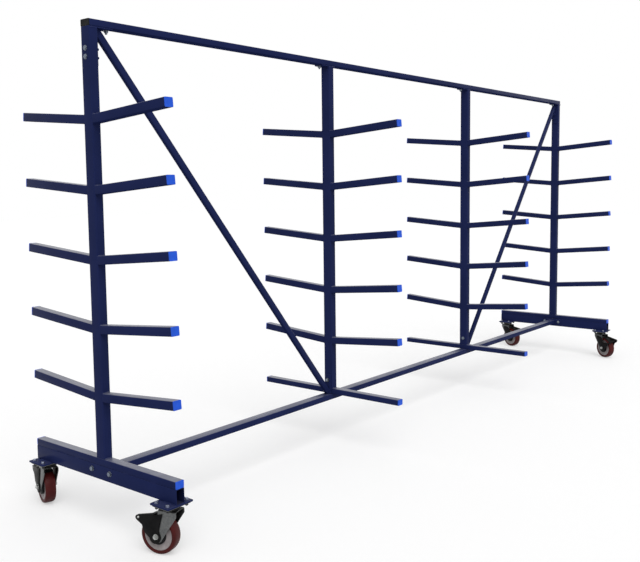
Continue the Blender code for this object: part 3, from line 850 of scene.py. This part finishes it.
foot = {"hollow": 0.30, "boltsApart": 0.114, "boltHeight": 0.243, "seamIn": 0.0012, "skin": 0.75,
        "seams": (-0.32, -0.16, 0.16, 0.32)}


def dimInside(beam, x, z, tall):  # overspray and painted shade inside the open tube
    for finish in (shadedLowFinish, thinShadedFinish):
        beam.data.materials.append(finish)
    reach = rack["wall"] * foot["skin"]
    for face in beam.data.polygons:
        inside = abs(face.center.x - x) < half - reach and abs(face.center.z - z) < tall - reach
        face.material_index = int(inside)


def makeFoot(end, x):
    low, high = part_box(f"foot_beam_{end}")
    beam = openTube(f"foot_beam_{end}_tube", (x - half, low[1], low[2]), (x + half, high[1], high[2]), 1,
                    foot["hollow"], 1)
    seam = [beadAt((x + side * (half - foot["seamIn"]), y, high[2]), math.pi / 2)
            for side in (-1, 1) for y in foot["seams"]]
    joinAll(f"foot_beam_{end}_tube", [beam] + seam)
    dimInside(beam, x, (low[2] + high[2]) / 2, (high[2] - low[2]) / 2)
    hand(beam, "frame", "navy_paint", [f"foot_beam_{end}"])
    outward = -1 if end == "left" else 1
    outer, inner = x + outward * half, x - outward * (half + endPlate["thick"])
    bolts = []
    for side in (-1, 1):
        y, z = side * foot["boltsApart"] / 2, foot["boltHeight"]
        bolts.append(copyOf(headShape, "head", aimed((outer, y, z), (outward, 0, 0))))
        bolts.append(copyOf(nutShape, "nut", aimed((inner, y, z), (-outward, 0, 0))))
    handBolts(f"foot_bolts_{end}", bolts, "boltZinc")
    for row in rows:
        makePad(f"{row}_{end}", x, low[2])


pad = {"corner": 0.0045, "bolts": (0.094, 0.062), "seams": (-0.032, 0.004), "seamRise": 0.0004, "nutDrop": 0.0053}


def makePad(spot, x, top):
    low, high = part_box(f"caster_pad_{spot}")
    piece = steelPlate(low, high, 2, pad["corner"])
    middle = (low[1] + high[1]) / 2
    seams = [beadAt((x + side * (half + bead["proud"]), middle + offset, top + pad["seamRise"]), math.pi / 2)
             for side in (-1, 1) for offset in pad["seams"]]
    hand(joinAll(f"caster_pad_{spot}_plate", [piece] + seams), "frame", "navy_paint", [f"caster_pad_{spot}"],
         shadedLowFinish)
    heads = []
    nuts = []
    for sx in (-1, 1):
        for sy in (-1, 1):
            at = (x + sx * pad["bolts"][0] / 2, middle + sy * pad["bolts"][1] / 2)
            heads.append(copyOf(smallHead, "head", aimed((*at, high[2]), (0, 0, 1))))
            nuts.append(copyOf(smallNut, "nut", aimed((*at, low[2] - pad["nutDrop"]), (0, 0, -1))))
    # painted highlight: the pad's bolt heads get the lighter zinc
    handBolts(f"pad_bolts_{spot}", heads, "padZinc")
    # painted shade: the nuts under the pad get the darkest zinc
    handBolts(f"pad_nuts_{spot}", nuts, "insideZinc")


endPlate = {"thick": 0.006, "wide": 0.150, "tall": 0.050, "corner": 0.004}


def makeBottomRail():
    outer = postX[-1] - half - rack["clear"]
    inner = outer - endPlate["thick"]
    under = lowRailTop - rack["low"]
    middle = lowRailTop - rack["low"] / 2
    wide, tall = endPlate["wide"] / 2, endPlate["tall"] / 2
    parts = [roundBar("bottom_rail_tube", (-inner, -deepHalf, under + rack["clear"]),
                      (inner, deepHalf, lowRailTop - rack["clear"]), 0, rack["corner"], 5)]
    for side in (-1, 1):
        xs = sorted((side * outer, side * inner))
        parts.append(steelPlate((xs[0], -wide, middle - tall), (xs[1], wide, middle + tall), 0, endPlate["corner"]))
        parts += [beadAt((side * inner, 0, level), math.pi / 2) for level in (lowRailTop, under)]
    parts += [beadAt((x + side * half, 0, lowRailTop), math.pi / 2) for x in postX[1:-1] for side in (-1, 1)]
    hand(joinAll("bottom_rail_tube", parts), "frame", "navy_paint", ["bottom_rail"], railFinish)


makeTopRail()
makeCrossBars()
for end, x in ends.items():
    makeFoot(end, x)
makeBottomRail()
print("rails, bars and feet built")

# diagonal braces
brace = {
    "depth": 0.030, "width": 0.020, "corner": 0.00306, "setIn": 0.001, "under": 0.0006, "over": 0.0004,
    "plate": 0.005, "plateIn": 0.0008, "plateCorner": 0.003, "topPlate": 0.145, "footPlate": 0.105,
    "topBolts": (1.920, 1.887), "footBolt": 0.330,
}


def makeBrace(name, high, low):  # from the corner under the top rail to the corner on the bottom rail
    across = low - high
    toward = 1 if across.x > 0 else -1
    length = across.length + 4 * brace["depth"]
    tube = roundBar(f"{name}_tube", (-length / 2, -brace["width"] / 2, -brace["depth"] / 2),
                    (length / 2, brace["width"] / 2, brace["depth"] / 2), 0, brace["corner"])
    slope = math.atan2(-across.z, across.x)
    settle(tube, shift((high + low) / 2) @ spun(slope, "Y"))
    ceiling, ground = postTop - brace["under"], lowRailTop + brace["over"]
    cutOff(tube, (high.x + toward * brace["setIn"], 0, 0), (-toward, 0, 0))
    cutOff(tube, (low.x - toward * brace["setIn"], 0, 0), (toward, 0, 0))
    cutOff(tube, (0, 0, ceiling), (0, 0, 1))
    cutOff(tube, (0, 0, ground), (0, 0, -1))
    soften(tube, softEdge["tube"])
    parts = [tube]
    bolts = []
    wide = half - brace["plateIn"]
    plates = ((high.x, toward, ceiling - brace["topPlate"], ceiling, brace["topBolts"]),
              (low.x, -toward, ground, lowRailTop + brace["footPlate"], (brace["footBolt"],)))
    for x, inward, bottom, top, heights in plates:
        xs = sorted((x + inward * rack["clear"], x + inward * brace["plate"]))
        parts.append(steelPlate((xs[0], -wide, bottom), (xs[1], wide, top), 0, brace["plateCorner"]))
        for height in heights:
            nut = copyOf(nutShape, "nut", aimed((x + inward * brace["plate"], 0, height), (inward, 0, 0)))
            (parts if height in brace["topBolts"] else bolts).append(nut)  # painted over at the top
            bolts.append(copyOf(lowHead, "head", aimed((x - inward * rack["tube"], 0, height), (-inward, 0, 0))))
    hand(joinAll(f"{name}_tube", parts), "frame", "navy_paint", [name], shadedLowFinish)
    handBolts(f"{name}_bolts", bolts, "boltZinc")


for name, first, second, side in (("brace_left", 0, 1, 1), ("brace_right", 3, 2, -1)):
    makeBrace(name, Vector((postX[first] + side * half, 0, railUnder)),
              Vector((postX[second] - side * half, 0, lowRailTop)))
print("braces built")

# casters, modelled once with the kingpin on Z and the trail along +X
caster = {
    "height": 0.200, "trail": 0.050, "radius": 0.075, "width": 0.046, "plate": (0.118, 0.090, 0.005),
    "plateCorner": 0.006, "gap": 0.0003,
}
axleLine = (caster["trail"], caster["radius"])
axlePlace = Vector((caster["trail"], 0, caster["radius"]))
acrossWheel = shift(axlePlace) @ spun(math.pi / 2, "X")
seat = {  # turned under the plate: radius and height, first from the plate's underside, then from the floor
    "dish": [(0, 0.001), (0.030, 0.001), (0.027, -0.0015), (0.025, -0.004), (0.007, -0.004)],
    "kingpin": [(0.007, 0.1745), (0.0133, 0.1745), (0.0133, 0.1712), (0.009, 0.1685), (0, 0.168)],
}


def casterPlate():
    long, wide, thick = caster["plate"]
    top = caster["height"] - caster["gap"]
    under = top - thick
    piece = steelPlate((-long / 2, -wide / 2, under), (long / 2, wide / 2, top), 2, caster["plateCorner"], 4)
    dish = [(r, under + z) for r, z in seat["dish"]]
    turned = turnProfile("seat", dish + seat["kingpin"], steps=40, ring=False)
    soften(turned, softEdge["plate"], angle=25)
    return joinAll("casterPlate", [piece, turned])


race = {
    "skirt": [(0.011, 0), (0.034, 0), (0.0338, 0.003), (0.0325, 0.0055), (0.0315, 0.006), (0.0315, 0.0075)],
    "rim": (0.031, 0.027), "bore": 0.011, "floor": 0.006, "under": 0.0023,
}


def swivelRace():
    low = fork["top"] + caster["gap"]
    high = caster["height"] - caster["plate"][2] - race["under"]
    outer, inner = race["rim"]
    line = [(r, low + z) for r, z in race["skirt"]] + [(outer, high), (inner, high)]
    line += [(r, low + race["floor"]) for r in (inner, race["bore"])]
    piece = turnProfile("swivelRace", line, steps=48)
    return soften(piece, softEdge["sheet"], angle=25)


def sheetFace(name, outline, y, corners=(), radius=0.0):  # a flat blank, some of its corners rounded
    piece = drawLine(name, [(x, y, z) for x, z in outline])
    pickAll()
    bpy.ops.mesh.edge_face_add()
    closeEdit()
    if corners:
        openEdit(piece, "VERT")
        pick("verts", lambda vert: min(
            math.hypot(vert.co.x - x, vert.co.z - z) for x, z in corners) < close["corner"])
        bpy.ops.mesh.bevel(affect="VERTICES", offset=radius, segments=4)
        closeEdit()
    return piece


def drawIn(piece, y, top, start, bend, reach, narrow=0.0):  # turns the top edge in and rounds the bend
    openEdit(piece, "EDGE")
    point = close["point"]
    pick("edges", lambda edge: all(
        abs(vert.co.z - top) < point and vert.co.x > start - point for vert in edge.verts))
    pull((0, math.copysign(reach, -y), 0))
    bpy.ops.mesh.select_all(action="DESELECT")
    if narrow:
        bpy.ops.mesh.select_mode(type="VERT")
        pick("verts", lambda vert: abs(vert.co.y - y) > reach / 2 and vert.co.x > start + reach)
        push((0, math.copysign(narrow, y), 0))
        bpy.ops.mesh.select_all(action="DESELECT")
        bpy.ops.mesh.select_mode(type="EDGE")
    pick("edges", lambda edge: len(edge.link_faces) == 2 and all(
        abs(vert.co.y - y) < point and abs(vert.co.z - top) < point for vert in edge.verts))
    bpy.ops.mesh.bevel(offset=bend, segments=5, affect="EDGES")
    closeEdit()


def thickenSheet(piece, sheet):  # its drawn face is the outer one
    openEdit(piece)
    cleanNormals()
    closeEdit()
    widest = max(piece.data.polygons, key=lambda face: face.area)
    if widest.normal.y * widest.center.y < 0:
        openEdit(piece)
        pickAll()
        bpy.ops.mesh.flip_normals()
        closeEdit()
    useModifier(piece, "SOLIDIFY", thickness=sheet, offset=-1, use_even_offset=True)
    soften(piece, softEdge["sheet"], angle=50)


fork = {"gap": 0.056, "sheet": 0.004, "top": 0.180, "back": -0.036, "front": 0.042, "shoulder": 0.158,
        "eye": 0.026, "eyeTurn": (200, 370), "bend": 0.009, "inward": (-0.3, -0.1, -0.5)}
legOutside = fork["gap"] / 2 + fork["sheet"]


def casterFork():
    outline = [(fork["front"], fork["top"]), (fork["back"], fork["top"]), (fork["back"], fork["shoulder"])]
    outline += arcPoints(axleLine, fork["eye"], *fork["eyeTurn"], steps=16)
    outline += [(fork["front"], fork["shoulder"])]
    piece = sheetFace("casterFork", outline, legOutside)
    drawIn(piece, legOutside, fork["top"], fork["back"], fork["bend"], legOutside)
    useModifier(piece, "MIRROR", use_axis=(False, True, False), use_clip=True)
    thickenSheet(piece, fork["sheet"])
    for finish in (finishes["zinc"], zincs["shadeZinc"], zincs["insideZinc"]):
        piece.data.materials.append(finish)
    inX, inY, inZ = fork["inward"]
    for face in piece.data.polygons:  # painted shade: the cover side gets a darker zinc, and the inside, where little light reaches, the darkest
        side = 1 if face.center.y > 0 else -1
        crown = face.center.z > fork["shoulder"]
        inner = face.normal.y * side < inY or crown and (face.normal.z < inZ or face.normal.x < inX)
        face.material_index = 2 if inner else int(side < 0)
    return piece


def bentStrip(name, line, wide, sheet):  # an (x, z) line drawn out across the wheel
    piece = drawLine(name, [(x, -wide, z) for x, z in line])
    pickAll()
    pull((0, 2 * wide, 0))
    cleanNormals()
    closeEdit()
    useModifier(piece, "SOLIDIFY", thickness=sheet, offset=0, use_even_offset=True)
    return soften(piece, softEdge["tube"], angle=50)


spring = {"back": 0.0235, "front": 0.040, "bend": 0.0052, "drop": 0.0014, "wide": 0.019, "sheet": 0.0022}


def brakeSpring():  # a hairpin strip held under the crown
    middle = fork["top"] - fork["sheet"] - spring["drop"] - spring["bend"]
    line = [(spring["front"], middle + spring["bend"])]
    line += arcPoints((spring["back"], middle), spring["bend"], 90, 270, steps=8)
    line.append((spring["front"], middle - spring["bend"]))
    return bentStrip("brakeSpring", line, spring["wide"], spring["sheet"])


lever = {
    "sheet": 0.003, "play": 0.0012, "rest": math.radians(8), "top": 0.160,
    "eye": 0.024, "eyeMiddle": (0.056, 0.071), "eyeTurn": (180, 360),
    "front": [(0.098, 0.092), (0.103, 0.106), (0.105, 0.122)],
    "toe": [(0.127, 0.143), (0.1305, 0.152), (0.124, 0.160)],
    "back": [(0.045, 0.160), (0.011, 0.160), (0.038, 0.094)],
    "cover": [(0.1245, 0.1265), (0.1245, 0.1335), (0.102, 0.1325), (0.052, 0.120), (0.030, 0.156),
              (-0.018, 0.156), (-0.024, 0.140)],
    "coverRound": 0.006, "flange": 0.024, "flangeToe": 0.010, "bend": 0.0035, "tipRound": 0.0035,
    "pedal": (0.1035, 0.1235), "pedalTop": 0.1435, "pedalSlope": math.radians(19.8), "pedalRound": 0.001,
}
shoe = {"radius": 0.0798, "turn": (128, 51), "wide": 0.021, "sheet": 0.002, "overlap": 0.0005}  # turn in degrees
cheekInside = legOutside + lever["play"]
cheekOutside = cheekInside + lever["sheet"]


def brakeShoe():  # hangs from the pedal and curls over the tread
    curl = arcPoints(axleLine, shoe["radius"], *shoe["turn"], steps=14)
    hanger = [curl[-1], (lever["pedal"][0] + shoe["sheet"] / 2, lever["pedalTop"] + shoe["wide"])]
    tab = bentStrip("tab", hanger, shoe["wide"], shoe["sheet"])
    slope = lever["pedalSlope"]
    cutOff(tab, (0, 0, lever["pedalTop"] - shoe["overlap"]), (0, -math.sin(slope), math.cos(slope)))
    return joinAll("shoe", [bentStrip("shoe", curl, shoe["wide"], shoe["sheet"]), tab])


def brakeLever():  # a cheek with the toe, a cover cheek, and the pedal that slopes across between them
    lower = arcPoints(lever["eyeMiddle"], lever["eye"], *lever["eyeTurn"], steps=18) + lever["front"]
    toeCheek = sheetFace("toeCheek", lower + lever["toe"] + lever["back"], cheekOutside, lever["toe"],
                         lever["tipRound"])
    drawIn(toeCheek, cheekOutside, lever["top"], lever["back"][0][0], lever["bend"], lever["flange"],
           lever["flange"] - lever["flangeToe"])
    cover = sheetFace("cover", lower + lever["cover"], -cheekOutside, lever["cover"][-3:], lever["coverRound"])
    for cheek in (toeCheek, cover):
        thickenSheet(cheek, lever["sheet"])
    back, front = lever["pedal"]
    wide = (cheekInside + lever["sheet"] / 2) / math.cos(lever["pedalSlope"])
    pedal = roundBar("pedal", (back, -wide, -lever["sheet"]), (front, wide, 0), 1, lever["pedalRound"], 3)
    settle(pedal, shift((0, 0, lever["pedalTop"])) @ spun(lever["pedalSlope"], "X"))
    return joinAll("brakeLever", [toeCheek, cover, pedal, brakeShoe()])


rivet = {"place": (0.117, 0.151), "radius": 0.0046, "dome": [(0, 0.0022), (0.55, 0.0018), (0.9, 0.0008), (1, 0)],
         "shank": [(0.6, -0.0005), (0.6, -0.0045), (0, -0.0045)]}  # shares of the radius, heights


def toeRivet():
    profile = [(share * rivet["radius"], height) for share, height in rivet["dome"] + rivet["shank"]]
    piece = turnProfile("toeRivet", profile, steps=24, ring=False)
    x, z = rivet["place"]
    return settle(piece, aimed((x, cheekOutside, z), (0, 1, 0)))


axle = {"radius": 0.006, "across": 0.016, "head": 0.008, "nut": 0.009, "tail": 0.003, "crown": 0.0006,
        "inHead": 0.002, "taper": 0.85}


def axleBolt():
    grip = cheekOutside + axle["crown"]
    tail = -grip - axle["nut"]
    radius = axle["radius"]
    line = [(0, grip + axle["inHead"]), (radius, grip + axle["inHead"]), (radius, tail),
            (radius * axle["taper"], tail - axle["tail"]), (0, tail - axle["tail"])]
    parts = [turnProfile("axleBolt", line, steps=20, ring=False)]
    sides = ((axle["head"], shift((0, 0, grip))),
             (axle["nut"], shift((0, 0, -grip)) @ spun(math.pi, "X")))
    for tall, where in sides:
        for part in (hexBlock(axle["across"], tall - bolt["washer"] - axle["crown"]), washerAt(axle["across"])):
            parts.append(settle(part, where))
    return settle(joinAll("axleBolt", parts), acrossWheel)


guard = {"bore": 0.0112, "radius": 0.0345, "outer": 0.0275, "inner": 0.0264, "skirt": 0.0195, "lip": 0.0325,
         "dish": 0.0004, "drop": 0.0012, "slope": 0.002}


def threadGuards():  # a dished ring on each side of the hub
    bore, radius, lip, outer = (guard[key] for key in ("bore", "radius", "lip", "outer"))
    outline = [(bore, guard["inner"]), (lip, guard["inner"] - guard["dish"]), (lip, guard["skirt"]),
               (radius, guard["skirt"]), (radius, outer - guard["drop"]), (radius - guard["slope"], outer),
               (bore, outer)]
    near = turnProfile("guard", outline, steps=48)
    far = copyOf(near, "guardFar", spun(math.pi, "X"))
    return settle(joinAll("threadGuards", [near, far]), acrossWheel)


def mirrored(line):
    return line + [(r, -z) for r, z in reversed(line)]


wheel = {"core": 0.059, "hub": 0.024, "hubLength": 0.052, "face": 0.017, "rim": 0.0205, "bore": 0.0106,
         "chamfer": 0.002, "fillet": 0.0055, "bead": [(0.0125, 0), (0.011, 0.0016), (0.003, 0.0022)]}


def wheelCore():
    end, hub, core, face = wheel["hubLength"] / 2, wheel["hub"], wheel["core"], wheel["face"]
    chamfer = wheel["chamfer"]
    line = [(wheel["bore"], end), (hub - chamfer, end), (hub, end - chamfer), (hub + wheel["fillet"], face)]
    line += [(core - inward, face + rise) for inward, rise in wheel["bead"]] + [(core, wheel["rim"])]
    piece = turnProfile("wheelCore", mirrored(line), steps=72)
    soften(piece, softEdge["sheet"], angle=20)
    return settle(piece, acrossWheel)


tyre = {"lip": 0.0012, "step": 0.0016, "flank": 0.004, "flat": 0.0062, "shoulder": 0.006, "round": 0.0042,
        "turns": (22.5, 45, 67.5),
        "crown": [(0.0016, 0.0048), (0.0005, 0.0078), (0, 0.012)]}


def wheelTread():
    inner = wheel["core"] + caster["gap"]
    side = caster["width"] / 2
    outer = caster["radius"]
    bend = tyre["round"]
    line = [(inner, wheel["rim"]), (inner + tyre["lip"], wheel["rim"] + tyre["step"]),
            (inner + tyre["flank"], side), (outer - tyre["flat"], side)]
    line += [(outer - tyre["shoulder"] + bend * math.sin(turn), side - bend + bend * math.cos(turn))
             for turn in map(math.radians, tyre["turns"])]
    line += [(outer - inward, side - away) for inward, away in tyre["crown"]]
    return settle(turnProfile("wheelTread", mirrored(line), steps=96), acrossWheel)


def makeCasters():
    rest = shift(axlePlace) @ spun(lever["rest"], "Y") @ shift(-axlePlace)
    leverModel = brakeLever()
    rivetModel = toeRivet()
    for model in (leverModel, rivetModel):
        settle(model, rest)
    models = {
        "caster_plate": (casterPlate(), "frame", "zinc"), "swivel_race": (swivelRace(), "swivel", "zinc"),
        "caster_fork": (casterFork(), "swivel", "zinc"), "axle_bolt": (axleBolt(), "swivel", "zinc"),
        "wheel_core": (wheelCore(), "wheel", "grey_core"), "tread": (wheelTread(), "wheel", "red_tread"),
        "brake_lever": (leverModel, "brake", "black_steel"),
        "brake_spring": (brakeSpring(), "swivel", "black_steel"),
        "thread_guards": (threadGuards(), "swivel", "black_plastic"), "toe_rivet": (rivetModel, "brake", "zinc"),
    }
    # painted shade: the plate and the race under the pad get the darker zincs
    special = {"axle_bolt": zincs["axleZinc"], "toe_rivet": zincs["axleZinc"], "caster_plate": zincs["shadeZinc"],
               "swivel_race": zincs["insideZinc"]}
    joints = {joint["name"]: joint for joint in frame["record"]["behaviour"]["joints"]}
    for end in ends:
        for row in rows:
            spot = f"{row}_{end}"
            kingpin = joints[f"swivel_turn_{spot}"]["pos_m"]
            across = joints[f"wheel_spin_{spot}"]["axis"]
            heading = math.atan2(-across[0], across[1])
            stand = shift((kingpin[0], kingpin[1], 0))
            turned = stand @ spun(heading, "Z")
            for name, (model, body, slot) in models.items():
                where = stand if body == "frame" else turned
                rides = "frame" if body == "frame" else f"{body}_{spot}"
                node = f"{name}_{spot}"
                known = node in frame["nodes"]
                hand(copyOf(model, f"{node}_made", where), rides, slot, [node] if known else [], special.get(name))
            sleeve = bpy.data.objects[f"bearing_sleeve_{spot}"]
            sleeve.data.materials.clear()
            sleeve.data.materials.append(finishes["zinc"])
    discard(*(model for model, _, _ in models.values()))


makeCasters()
discard(beadShape, headShape, lowHead, nutShape, smallHead, smallNut)
print("casters built; pieces:", len(madePieces))
